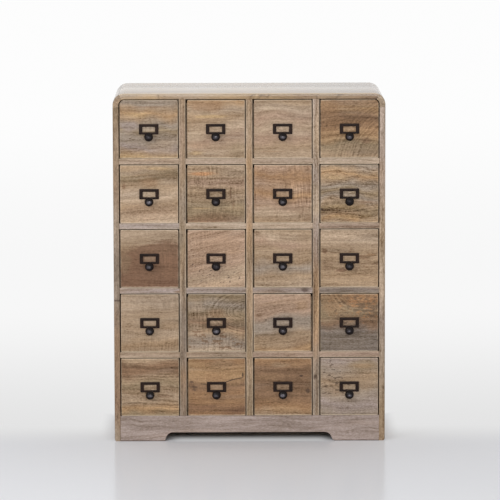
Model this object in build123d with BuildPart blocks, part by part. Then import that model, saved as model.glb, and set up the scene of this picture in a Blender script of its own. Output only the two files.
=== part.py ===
from build123d import *

import math
import os

os.makedirs("parts", exist_ok=True)

# A wooden chest with a grid of small drawers: a round-cornered case on an arched base, split into
# bays by dividers and shelves. Millimetres, +Z up, drawers facing -Y. The origin is on the floor,
# under the middle of the closed chest with its pulls.

# Case
cabinet_width = 740.0
cabinet_height = 955.0
cabinet_depth = 360.0
columns = 4
rows = 5
case_board = 16.0
divider_board = 18.0
shelf_board = 16.0
bottom_board = 16.0
corner_radius = 32.0
corner_tail = 6.0
mitre_angle = 62.0
edge_round = 1.2
foot_round = 2.5
housing_depth = 5.0
housing_stop = 14.0

# Base
base_height = 70.0
rail_board = 18.0
arch_height = 24.0
foot_width = 122.0
cove_radius = 26.0
toe_rise = 10.0
toe_run = 6.5
glue_block_side = 28.0
glue_block_height = 36.0

# Back panel and its screws
back_board = 6.0
back_rabbet = 8.0
back_play = 0.3
screw_length = 18.0
screw_radius = 1.6
screw_head_radius = 3.2
screw_tip = 3.0
screw_play = 0.1
screw_row_step = 2

# Drawers
front_board = 18.0
front_edge_round = 1.5
front_side_gap = 2.0
front_top_gap = 2.0
front_bottom_gap = 1.0
front_rabbet = 8.0
drawer_side_board = 10.0
drawer_headroom = 10.7
drawer_back_board = 10.0
drawer_bottom_board = 5.0
drawer_bottom_rise = 8.0
groove_depth = 5.0
groove_play = 0.1
panel_play = 0.2
running_gap = 0.3
stop_gap = 0.3

# Pulls
plate_width = 53.0
plate_height = 28.0
plate_thickness = 3.2
plate_corner = 1.6
plate_edge_round = 0.7
window_width = 34.5
window_height = 16.0
window_sill = 5.5
card_slot_depth = 1.2
card_slot_margin = 3.0
tab_width = 18.0
knob_drop = 20.0
knob_radius = 11.5
knob_half_depth = 9.0
knob_standoff = 14.0
knob_neck_radius = 4.5
knob_foot_radius = 7.0
knob_foot_height = 1.4
bolt_radius = 2.0
bolt_head_radius = 4.0
bolt_head_height = 2.4
bolt_grip = 8.0
bolt_play = 0.2
pin_radius = 0.9
pin_head_radius = 2.0
pin_head_height = 0.9
pin_length = 11.0
pin_play = 0.1
pin_inset_x = 4.4
pin_inset_z = 4.2

# Levels that several pieces share
pull_reach = plate_thickness + knob_standoff + knob_half_depth
front_y = (pull_reach - cabinet_depth) / 2
back_y = front_y + cabinet_depth
inner_back_y = back_y - back_board
housing_front_y = front_y + housing_stop
rail_back_y = front_y + rail_board
inner_half = cabinet_width / 2 - case_board
inner_top = cabinet_height - case_board
bottom_underside = base_height - bottom_board
bay_width = (2 * inner_half - (columns - 1) * divider_board) / columns
bay_height = (inner_top - base_height - (rows - 1) * shelf_board) / rows
ledge_x = inner_half + back_rabbet / 2
ledge_z = inner_top + back_rabbet / 2


def elevation(y):
    """Upright plane at depth y: x to the right, z up, extruding towards the front."""
    return Plane.XZ.offset(-y)


def rear_seat(x, y, z):
    """Plane at a rear-facing spot, so that holes drill forwards into it."""
    return Plane(origin=(x, y, z), x_dir=(1, 0, 0), z_dir=(0, 1, 0))


def front_seat(x, y, z):
    """Plane at a front-facing spot, so that holes drill backwards into it."""
    return Plane(origin=(x, y, z), x_dir=(1, 0, 0), z_dir=(0, -1, 0))


def block(low, high, mode=Mode.ADD):
    """Box between two opposite corners."""
    size = Vector(*high) - Vector(*low)
    with Locations((Vector(*low) + Vector(*high)) / 2):
        Box(size.X, size.Y, size.Z, mode=mode)


def bay_x(column):
    """Middle of a column of bays, counted from the left."""
    return -inner_half + bay_width / 2 + column * (bay_width + divider_board)


def bay_floor(row):
    """Floor of a row of bays, counted from the top."""
    return inner_top - bay_height - row * (bay_height + shelf_board)


def bay_middle(row):
    """Middle height of a row of bays."""
    return bay_floor(row) + bay_height / 2


def divider_x(index):
    """Middle of a divider, counted from the left."""
    return bay_x(index) + (bay_width + divider_board) / 2


def save_group(label, pieces):
    """Write separate solids that share one node."""
    export_step(Compound(label=label, children=pieces), f"parts/{label}.step")


# Case shell: sides, round corners and top in one bent outline, cut into its boards below
def case_outline(inset, base, mode=Mode.ADD):
    """Outline of the case from the front, set in from its outside, with the top corners round."""
    half = cabinet_width / 2 - inset
    top = cabinet_height - inset
    radius = corner_radius - inset
    spring = top - radius
    with BuildLine() as outline:
        Line((-half, spring), (-half, base))
        Line((-half, base), (half, base))
        Line((half, base), (half, spring))
        CenterArc((half - radius, spring), radius, 0, 90)
        Line((half - radius, top), (radius - half, top))
        CenterArc((radius - half, spring), radius, 90, 90)
    make_face(outline.edges(), mode=mode)


with BuildPart() as case_shell:
    with BuildSketch(elevation(back_y)):
        case_outline(0, 0)
        case_outline(case_board, 0, Mode.SUBTRACT)
    extrude(amount=cabinet_depth)
    front_edges = case_shell.edges().group_by(Axis.Y)[0]
    fillet(front_edges.filter_by(lambda edge: edge.center().Z > case_board), radius=edge_round)
    with BuildSketch(elevation(back_y)):
        case_outline(case_board - back_rabbet, bottom_underside)
    extrude(amount=back_board, mode=Mode.SUBTRACT)

corner_x = cabinet_width / 2 - corner_radius
corner_z = cabinet_height - corner_radius
mitre_run = corner_radius / math.tan(math.radians(mitre_angle))
side_top = corner_z - corner_tail
pilot_depth = screw_length - back_board + screw_play
pilot_radius = screw_radius + screw_play
shelf_floors = [bay_floor(row) for row in range(rows - 1)]
dividers = range(columns - 1)


def drill_pilots(spots):
    """Pilot holes for the back panel's screws, drilled forwards from the panel's seat."""
    with Locations(*[rear_seat(x, inner_back_y, z) for x, z in spots]):
        Hole(radius=pilot_radius, depth=pilot_depth)


# Top board, mitred at its ends, with a stopped housing for each divider
top_screws = [(bay_x(column), ledge_z) for column in range(columns)]
with BuildPart() as top_panel:
    add(case_shell.part)
    with BuildSketch(elevation(back_y)):
        with BuildLine():
            Polyline(
                (-corner_x, corner_z),
                (-corner_x - mitre_run, cabinet_height),
                (corner_x + mitre_run, cabinet_height),
                (corner_x, corner_z),
                close=True,
            )
        make_face()
    extrude(amount=cabinet_depth, mode=Mode.INTERSECT)
    for index in dividers:
        block(
            (divider_x(index) - divider_board / 2, housing_front_y, inner_top),
            (divider_x(index) + divider_board / 2, inner_back_y, inner_top + housing_depth),
            Mode.SUBTRACT,
        )
    drill_pilots(top_screws)
top_panel.part.label = "top_panel"
export_step(top_panel.part, "parts/top_panel.step")

# Bent corner blocks and the side boards below them
side_screws = []
for name, side in (("left", -1), ("right", 1)):
    with BuildPart() as corner_block:
        add(case_shell.part)
        with BuildSketch(elevation(back_y)):
            with BuildLine():
                Polyline(
                    (side * corner_x, corner_z),
                    (side * (corner_x + mitre_run), cabinet_height),
                    (side * cabinet_width / 2, cabinet_height),
                    (side * cabinet_width / 2, side_top),
                    (side * corner_x, side_top),
                    close=True,
                )
            make_face()
        extrude(amount=cabinet_depth, mode=Mode.INTERSECT)
    corner_block.part.label = f"{name}_corner_block"
    export_step(corner_block.part, f"parts/{name}_corner_block.step")

    spots = [(side * ledge_x, bay_middle(row)) for row in range(rows)]
    side_screws += spots
    with BuildPart() as side_panel:
        add(case_shell.part)
        with BuildSketch(elevation(back_y)):
            with BuildLine():
                Polyline(
                    (side * inner_half, 0),
                    (side * cabinet_width / 2, 0),
                    (side * cabinet_width / 2, side_top),
                    (side * inner_half, side_top),
                    close=True,
                )
            make_face()
        extrude(amount=cabinet_depth, mode=Mode.INTERSECT)
        floor_edges = side_panel.edges().group_by(Axis.Z)[0].filter_by(Axis.Y)
        fillet(floor_edges.sort_by(Axis.X)[0 if side < 0 else -1], radius=foot_round)
        housing_x = sorted((side * inner_half, side * (inner_half + housing_depth)))
        for level in shelf_floors:
            block(
                (housing_x[0], housing_front_y, level - shelf_board),
                (housing_x[1], inner_back_y, level),
                Mode.SUBTRACT,
            )
        block(
            (housing_x[0], rail_back_y, bottom_underside),
            (housing_x[1], inner_back_y, base_height),
            Mode.SUBTRACT,
        )
        drill_pilots(spots)
    side_panel.part.label = f"{name}_side_panel"
    export_step(side_panel.part, f"parts/{name}_side_panel.step")

# Upright dividers, tongued into the top and bottom boards and housed for the shelves
divider_names = [f"divider_{index + 1}" for index in dividers]
divider_screws = []
for index, name in zip(dividers, divider_names):
    middle = divider_x(index)
    spots = [(middle, bay_middle(row)) for row in range(0, rows, screw_row_step)]
    divider_screws += spots
    with BuildPart() as divider:
        block(
            (middle - divider_board / 2, front_y, base_height),
            (middle + divider_board / 2, inner_back_y, inner_top),
        )
        block(
            (middle - divider_board / 2, housing_front_y, inner_top),
            (middle + divider_board / 2, inner_back_y, inner_top + housing_depth),
        )
        block(
            (middle - divider_board / 2, rail_back_y, base_height - housing_depth),
            (middle + divider_board / 2, inner_back_y, base_height),
        )
        for level in shelf_floors:
            for face in (-1, 1):
                edge = middle + face * divider_board / 2
                web = edge - face * housing_depth
                block(
                    (min(edge, web), housing_front_y, level - shelf_board),
                    (max(edge, web), inner_back_y, level),
                    Mode.SUBTRACT,
                )
        drill_pilots(spots)
    divider.part.label = name
    export_step(divider.part, f"parts/{name}.step")

# Shelves: one board across each bay, with its ends notched to enter the housings
with BuildPart() as shelf:
    block((-bay_width / 2, front_y, -shelf_board), (bay_width / 2, inner_back_y, 0))
    block(
        (-bay_width / 2 - housing_depth, housing_front_y, -shelf_board),
        (bay_width / 2 + housing_depth, inner_back_y, 0),
    )
for row, level in enumerate(shelf_floors):
    boards = [shelf.part.moved(Location((bay_x(column), 0, level))) for column in range(columns)]
    save_group(f"shelf_row_{row + 1}", boards)

# Bottom board behind the apron, housed in the sides and grooved for the dividers
bottom_screws = [(bay_x(column), base_height - bottom_board / 2) for column in range(columns)]
with BuildPart() as bottom_panel:
    block(
        (-inner_half - housing_depth, rail_back_y, bottom_underside),
        (inner_half + housing_depth, inner_back_y, base_height),
    )
    for index in dividers:
        block(
            (divider_x(index) - divider_board / 2, rail_back_y, base_height - housing_depth),
            (divider_x(index) + divider_board / 2, inner_back_y, base_height),
            Mode.SUBTRACT,
        )
    drill_pilots(bottom_screws)
bottom_panel.part.label = "bottom_board"
export_step(bottom_panel.part, "parts/bottom_board.step")

# Front apron: the arch springs from two feet, with a cove over a small flared toe
arch_foot = inner_half - foot_width
toe_x = arch_foot - toe_run
cove_drop = arch_height - toe_rise
cove_run = math.sqrt(2 * cove_radius * cove_drop - cove_drop**2)
cove_x = toe_x - cove_run
cove_centre_z = arch_height - cove_radius
cove_turn = math.degrees(math.acos(1 - cove_drop / cove_radius))
toe_slope = (math.cos(math.radians(cove_turn)), -math.sin(math.radians(cove_turn)))
with BuildPart() as front_apron:
    with BuildSketch(elevation(rail_back_y)):
        with BuildLine():
            Line((-arch_foot, 0), (-inner_half, 0))
            Line((-inner_half, 0), (-inner_half, base_height))
            Line((-inner_half, base_height), (inner_half, base_height))
            Line((inner_half, base_height), (inner_half, 0))
            Line((inner_half, 0), (arch_foot, 0))
            TangentArc((toe_x, toe_rise), (arch_foot, 0), tangent=toe_slope)
            CenterArc((cove_x, cove_centre_z), cove_radius, 90 - cove_turn, cove_turn)
            Line((cove_x, arch_height), (-cove_x, arch_height))
            CenterArc((-cove_x, cove_centre_z), cove_radius, 90, cove_turn)
            TangentArc((-toe_x, toe_rise), (-arch_foot, 0), tangent=(-toe_slope[0], toe_slope[1]))
        make_face()
    extrude(amount=rail_board)
front_apron.part.label = "front_apron"
export_step(front_apron.part, "parts/front_apron.step")

# Rear rail and the glue blocks in the corners of the base
with BuildPart() as rear_rail:
    block((-inner_half, back_y - rail_board, 0), (inner_half, back_y, bottom_underside))
rear_rail.part.label = "rear_rail"
export_step(rear_rail.part, "parts/rear_rail.step")

with BuildPart() as glue_block:
    block(
        (-glue_block_side / 2, -glue_block_side / 2, bottom_underside - glue_block_height),
        (glue_block_side / 2, glue_block_side / 2, bottom_underside),
    )
block_x = inner_half - glue_block_side / 2
block_depths = (rail_back_y + glue_block_side / 2, back_y - rail_board - glue_block_side / 2)
glue_spots = [(side * block_x, depth, 0) for side in (-1, 1) for depth in block_depths]
save_group("base_glue_blocks", [glue_block.part.moved(Location(spot)) for spot in glue_spots])

# Back panel in its rabbet, with a countersunk hole for each screw
screw_spots = top_screws + side_screws + divider_screws + bottom_screws
with BuildPart() as back_panel:
    with BuildSketch(elevation(back_y)):
        case_outline(case_board - back_rabbet + back_play, bottom_underside)
    extrude(amount=back_board)
    with Locations(*[rear_seat(x, back_y, z) for x, z in screw_spots]):
        CounterSinkHole(
            radius=pilot_radius,
            counter_sink_radius=screw_head_radius + screw_play,
            depth=back_board,
            counter_sink_angle=90,
        )
back_panel.part.label = "back_panel"
export_step(back_panel.part, "parts/back_panel.step")

with BuildPart() as screw:
    with BuildSketch(Plane.XY):
        with BuildLine():
            Polyline(
                (0, 0),
                (screw_head_radius, 0),
                (screw_radius, screw_radius - screw_head_radius),
                (screw_radius, screw_tip - screw_length),
                (0, -screw_length),
                close=True,
            )
        make_face()
    revolve(axis=Axis.Y)
screws = [screw.part.moved(Location((x, back_y, z))) for x, z in screw_spots]
save_group("back_panel_screws", screws)

# Drawers, drawn in a bay: x from its middle, z from its floor
front_half = bay_width / 2 - front_side_gap
front_low = front_bottom_gap
front_high = bay_height - front_top_gap
front_back_y = front_y + front_board
front_corner = corner_radius - case_board - front_side_gap
side_front_y = front_back_y - front_rabbet
drawer_end_y = inner_back_y - stop_gap
drawer_inner_half = front_half - drawer_side_board
side_low = running_gap
side_high = bay_height - drawer_headroom
floor_low = side_low + drawer_bottom_rise
floor_high = floor_low + drawer_bottom_board
groove_high = floor_high + groove_play

# Places on a drawer front for the pull's plate, knob and pins
plate_z = (front_low + front_high) / 2
knob_z = plate_z - knob_drop
pin_x = plate_width / 2 - pin_inset_x
pin_z = plate_height / 2 - pin_inset_z
pin_spots = [(x, plate_z + z) for x in (-pin_x, pin_x) for z in (-pin_z, pin_z)]
pin_hole_radius = pin_radius + pin_play
pin_hole_depth = pin_length - plate_thickness + pin_play


def drawer_front(round_ends):
    """Drawer front: eased edges, rabbets for the sides, a groove for the bottom, pull holes."""
    with BuildPart() as front:
        block((-front_half, front_y, front_low), (front_half, front_back_y, front_high))
        for end in round_ends:
            top_corners = front.edges().filter_by(Axis.Y).group_by(Axis.Z)[-1].sort_by(Axis.X)
            fillet(top_corners[0 if end < 0 else -1], radius=front_corner)
        fillet(front.faces().sort_by(Axis.Y)[0].edges(), radius=front_edge_round)
        for end in (-1, 1):
            outer = end * front_half
            inner = end * drawer_inner_half
            block(
                (min(outer, inner), side_front_y, front_low),
                (max(outer, inner), front_back_y, front_high),
                Mode.SUBTRACT,
            )
        block(
            (-drawer_inner_half, front_back_y - groove_depth, floor_low),
            (drawer_inner_half, front_back_y, groove_high),
            Mode.SUBTRACT,
        )
        with Locations(front_seat(0, front_y, knob_z)):
            Hole(radius=bolt_radius + bolt_play, depth=front_board)
        with Locations(*[front_seat(x, front_y, z) for x, z in pin_spots]):
            Hole(radius=pin_hole_radius, depth=pin_hole_depth)
    front.part.label = "front"
    return front.part


def drawer_side(end):
    """Drawer side, grooved on its inner face for the bottom."""
    outer = end * front_half
    inner = end * drawer_inner_half
    groove = inner + end * groove_depth
    with BuildPart() as side_board:
        block(
            (min(outer, inner), side_front_y, side_low),
            (max(outer, inner), drawer_end_y, side_high),
        )
        block(
            (min(groove, inner), side_front_y, floor_low),
            (max(groove, inner), drawer_end_y, groove_high),
            Mode.SUBTRACT,
        )
    side_board.part.label = "left_side" if end < 0 else "right_side"
    return side_board.part


with BuildPart() as drawer_back:
    block(
        (-drawer_inner_half, drawer_end_y - drawer_back_board, groove_high),
        (drawer_inner_half, drawer_end_y, side_high),
    )
drawer_back.part.label = "back"

floor_half = drawer_inner_half + groove_depth - panel_play
with BuildPart() as drawer_bottom:
    block(
        (-floor_half, front_back_y - groove_depth + panel_play, floor_low),
        (floor_half, drawer_end_y, floor_high),
    )
drawer_bottom.part.label = "bottom"

# Pull plate: a label frame with a card slot behind its window, and a tab that carries the knob
plate_front_y = front_y - plate_thickness
with BuildPart() as pull_plate:
    with BuildSketch(elevation(front_y)):
        with Locations((0, plate_z)):
            RectangleRounded(plate_width, plate_height, plate_corner)
        with Locations((0, knob_z)):
            Circle(tab_width / 2)
        with Locations((0, (plate_z + knob_z) / 2)):
            Rectangle(tab_width, knob_drop)
    extrude(amount=plate_thickness)
    fillet(pull_plate.faces().sort_by(Axis.Y)[0].edges(), radius=plate_edge_round)
    window_low = plate_z - plate_height / 2 + window_sill
    with BuildSketch(elevation(front_y)):
        with Locations((0, window_low + window_height / 2)):
            Rectangle(window_width, window_height)
    extrude(amount=plate_thickness, mode=Mode.SUBTRACT)
    block(
        (-window_width / 2 - card_slot_margin, front_y - card_slot_depth, window_low - card_slot_margin),
        (window_width / 2 + card_slot_margin, front_y, plate_z + plate_height / 2),
        Mode.SUBTRACT,
    )
    with Locations(front_seat(0, plate_front_y, knob_z)):
        Hole(radius=bolt_radius + bolt_play, depth=plate_thickness)
    with Locations(*[front_seat(x, plate_front_y, z) for x, z in pin_spots]):
        Hole(radius=pin_hole_radius, depth=plate_thickness)
pull_plate.part.label = "plate"

# Knob: a flattened ball on a short flared neck, turned about the bolt
neck_reach = knob_half_depth * math.sqrt(1 - (knob_neck_radius / knob_radius) ** 2)
with BuildPart() as knob:
    with BuildSketch(Plane.XY):
        with Locations((0, -knob_standoff)):
            Ellipse(knob_radius, knob_half_depth)
        split(bisect_by=Plane.YZ)
        with BuildLine():
            Polyline(
                (0, 0),
                (knob_foot_radius, 0),
                (knob_foot_radius, -knob_foot_height),
                (knob_neck_radius, neck_reach - knob_standoff),
                (0, -knob_standoff),
                close=True,
            )
        make_face()
    revolve(axis=Axis.Y)
    with Locations(rear_seat(0, 0, 0)):
        Hole(radius=bolt_radius + bolt_play, depth=bolt_grip + bolt_play)
knob.part.label = "knob"

# Bolt from inside the drawer into the knob
with BuildPart() as bolt:
    with BuildSketch(elevation(front_back_y)):
        Circle(bolt_radius)
    extrude(amount=front_board + plate_thickness + bolt_grip)
    with BuildSketch(elevation(front_back_y + bolt_head_height)):
        Circle(bolt_head_radius)
    extrude(amount=bolt_head_height)
bolt.part.label = "bolt"

# Domed pin that holds the plate to the drawer front
dome_radius = (pin_head_radius**2 + pin_head_height**2) / (2 * pin_head_height)
dome_half_angle = math.degrees(math.asin(pin_head_radius / dome_radius))
with BuildPart() as pin:
    with BuildSketch(Plane.XY):
        with BuildLine():
            CenterArc((0, dome_radius - pin_head_height), dome_radius, -90, dome_half_angle)
            Polyline(
                (pin_head_radius, 0),
                (pin_radius, 0),
                (pin_radius, pin_length - pin_radius),
                (0, pin_length),
                (0, -pin_head_height),
            )
        make_face()
    revolve(axis=Axis.Y)

pull_pieces = [
    pull_plate.part,
    knob.part.moved(Location((0, plate_front_y, knob_z))),
    bolt.part.moved(Location((0, 0, knob_z))),
]
for number, (x, z) in enumerate(pin_spots):
    placed_pin = pin.part.moved(Location((x, plate_front_y, z)))
    placed_pin.label = f"pin_{number + 1}"
    pull_pieces.append(placed_pin)

drawer_box = [drawer_side(-1), drawer_side(1), drawer_back.part, drawer_bottom.part]
for row in range(rows):
    for column in range(columns):
        seat = Location((bay_x(column), 0, bay_floor(row)))
        round_ends = []
        if row == 0 and column == 0:
            round_ends.append(-1)
        if row == 0 and column == columns - 1:
            round_ends.append(1)
        pieces = [drawer_front(round_ends), *drawer_box]
        place = f"row_{row + 1}_column_{column + 1}"
        save_group(f"drawer_{place}", [piece.moved(seat) for piece in pieces])
        save_group(f"pull_{place}", [piece.moved(seat) for piece in pull_pieces])
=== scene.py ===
import math
from functools import partialmethod

import bmesh
import bpy
from mathutils import Matrix, Vector, noise


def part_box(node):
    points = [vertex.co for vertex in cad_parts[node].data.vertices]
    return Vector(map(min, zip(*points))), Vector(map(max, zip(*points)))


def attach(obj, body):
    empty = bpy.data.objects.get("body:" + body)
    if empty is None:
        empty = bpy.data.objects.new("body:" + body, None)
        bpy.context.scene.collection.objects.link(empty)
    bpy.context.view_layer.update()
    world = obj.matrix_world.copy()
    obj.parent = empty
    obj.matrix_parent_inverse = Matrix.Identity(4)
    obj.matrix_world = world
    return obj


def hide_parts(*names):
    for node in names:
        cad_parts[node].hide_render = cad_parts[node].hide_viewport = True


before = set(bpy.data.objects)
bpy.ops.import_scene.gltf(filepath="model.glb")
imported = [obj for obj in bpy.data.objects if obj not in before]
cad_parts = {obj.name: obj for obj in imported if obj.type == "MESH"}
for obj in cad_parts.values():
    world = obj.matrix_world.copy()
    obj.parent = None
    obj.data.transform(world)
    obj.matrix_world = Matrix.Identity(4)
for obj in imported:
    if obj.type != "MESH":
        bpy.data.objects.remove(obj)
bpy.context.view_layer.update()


# Case boards. The two sides, the bent corner blocks and the top are planed hardwood, glued end to end
# along one bent line. Their front arrises are eased, and a rabbet behind takes the back panel.
side_low, side_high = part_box("left_side_panel")
front_y = side_low[1]
back_y = side_high[1]
case_half = -side_low[0]
case_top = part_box("top_panel")[1][2]
case_board = side_high[0] - side_low[0]
side_top = side_high[2]
corner_radius = 0.032
corner_tail = 0.006
mitre_turn = math.radians(62)
quarter_turn = math.radians(90)
joint_gap = 0.0002
arris_radius = 0.0014
outer_round = 0.0045
foot_round = 0.0055
foot_steps = 6
back_board = 0.006
back_rabbet = 0.008
weld = 1e-6
sharp_turn = math.radians(40)
butt_gap = 0.002


class Signal:
    """A socket in a node tree. Arithmetic on it adds Math nodes, and node() adds any other kind."""

    def __init__(self, tree, socket=None):
        self.tree = tree
        self.socket = socket

    def node(self, kind, inputs=None, output=0, stops=(), **settings):
        """Add a node with its settings and a ramp's stops, then the values or links of its sockets.

        A kind that names no family is of the tree's own. This socket feeds input 0 unless inputs does.
        """
        family = "" if "Node" in kind else self.tree.bl_idname.removesuffix("Tree")
        made = self.tree.nodes.new(family + kind)
        for name, value in settings.items():
            setattr(made, name, value)
        if stops:
            marks = made.color_ramp.elements
            marks.remove(marks[1])
            marks[0].position, marks[0].color = stops[0]
            for position, colour in stops[1:]:
                marks.new(position).color = colour
        first = {} if self.socket is None else {0: self}
        for key, value in (first | (inputs or {})).items():
            for link in value if isinstance(value, list) else [value]:
                if isinstance(link, Signal):
                    self.tree.links.new(link.socket, made.inputs[key])
                else:
                    made.inputs[key].default_value = link
        return Signal(self.tree, made.outputs[output] if made.outputs else None)

    def output(self, key):
        """Another output of the node that this socket belongs to."""
        return Signal(self.tree, self.socket.node.outputs[key])

    def math(self, operation, *others):
        """One Math node on this value and the others."""
        return self.node("ShaderNodeMath", dict(enumerate(others, 1)), operation=operation)

    def ramp(self, low, high):
        """A smooth rise from 0 at low to 1 at high, or a fall where low is the larger."""
        return self.node("MapRange", {1: low, 2: high}, interpolation_type="SMOOTHSTEP")

    def __rsub__(self, other):
        return self.node("ShaderNodeMath", {0: other, 1: self}, operation="SUBTRACT")

    __add__ = __radd__ = partialmethod(math, "ADD")
    __sub__ = partialmethod(math, "SUBTRACT")
    __mul__ = __rmul__ = partialmethod(math, "MULTIPLY")
    __truediv__ = partialmethod(math, "DIVIDE")
    __pow__ = partialmethod(math, "POWER")
    __abs__ = partialmethod(math, "ABSOLUTE")


def finish(name):
    """A new material and a signal on its empty nodes."""
    material = bpy.data.materials.new(name)
    material.use_nodes = True
    material.node_tree.nodes.clear()
    return material, Signal(material.node_tree)


def rgb(*levels):
    """A colour as seen on a screen, in bytes, turned into the renderer's linear light."""
    light = [level / 255 for level in levels]
    linear = [level / 12.92 if level < 0.04045 else ((level + 0.055) / 1.055) ** 2.4 for level in light]
    return (*linear, 1)


def blend(share, under, over):
    """Lay one colour over another by a share."""
    return share.node("Mix", {6: under, 7: over}, 2, data_type="RGBA")


def ripple(vector, swells, detail=2.0, rough=0.5):
    """Noise about zero, with so many swells a metre along, into and across the board."""
    scaled = vector.node("VectorMath", {1: swells}, operation="MULTIPLY")
    return scaled.node("TexNoise", {"Scale": 1, "Detail": detail, "Roughness": rough}) - 0.5


STAIN = {
    "cream": rgb(198, 174, 147),
    "straw": rgb(190, 158, 114),
    "beige": rgb(178, 153, 127),
    "rose": rgb(173, 143, 119),
    "tan": rgb(165, 138, 109),
    "honey": rgb(171, 136, 98),
    "amber": rgb(157, 120, 85),
    "umber": rgb(133, 102, 75),
    "rust": rgb(128, 94, 70),
    "ash": rgb(157, 140, 123),
    "mauve": rgb(160, 143, 134),
    "pearl": rgb(170, 153, 142),
    "slate": rgb(130, 116, 104),
    "olive": rgb(146, 124, 95),
    "bark": rgb(78, 57, 44),
    # A pale colour for painted highlights along eased edges.
    "painted_highlight": rgb(226, 206, 180),
    "copper": rgb(180, 128, 84),
    # A dark colour for painted shade, in the gaps behind the front faces and along the bottoms of the feet.
    "soot": rgb(44, 24, 10),
}
# How a board's length, depth and width lie in the frame
ALONG_X = (0.0, 0.0, 0.0)
ALONG_Y = (0.0, 0.0, quarter_turn)
ALONG_Z = (0.0, -quarter_turn, 0.0)
LYING = (quarter_turn, 0.0, 0.0)
STANDING = tuple(Matrix(((0, -1, 0), (0, 0, -1), (1, 0, 0))).to_euler())


def stained(share, stains, butted=False):
    """Stains along a board that melt into each other, or butted ones with sharp ends."""
    stains = [STAIN[stain] for stain in stains.split()]
    count = len(stains)
    if butted:
        ends = (butt_gap, 1 - butt_gap)
        stops = [((index + end) / count, stain) for index, stain in enumerate(stains) for end in ends]
    else:
        stops = [(index / (count - 1), stain) for index, stain in enumerate(stains)]
    return share.node("ValToRGB", stops=stops)


def oval(run, rise, x, z, wide, high):
    """How far a point lies from the middle of an oval, where 1 is its edge."""
    reach = (run - x) / wide
    climb = (rise - z) / high
    return (reach * reach + climb * climb) ** 0.5


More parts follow.
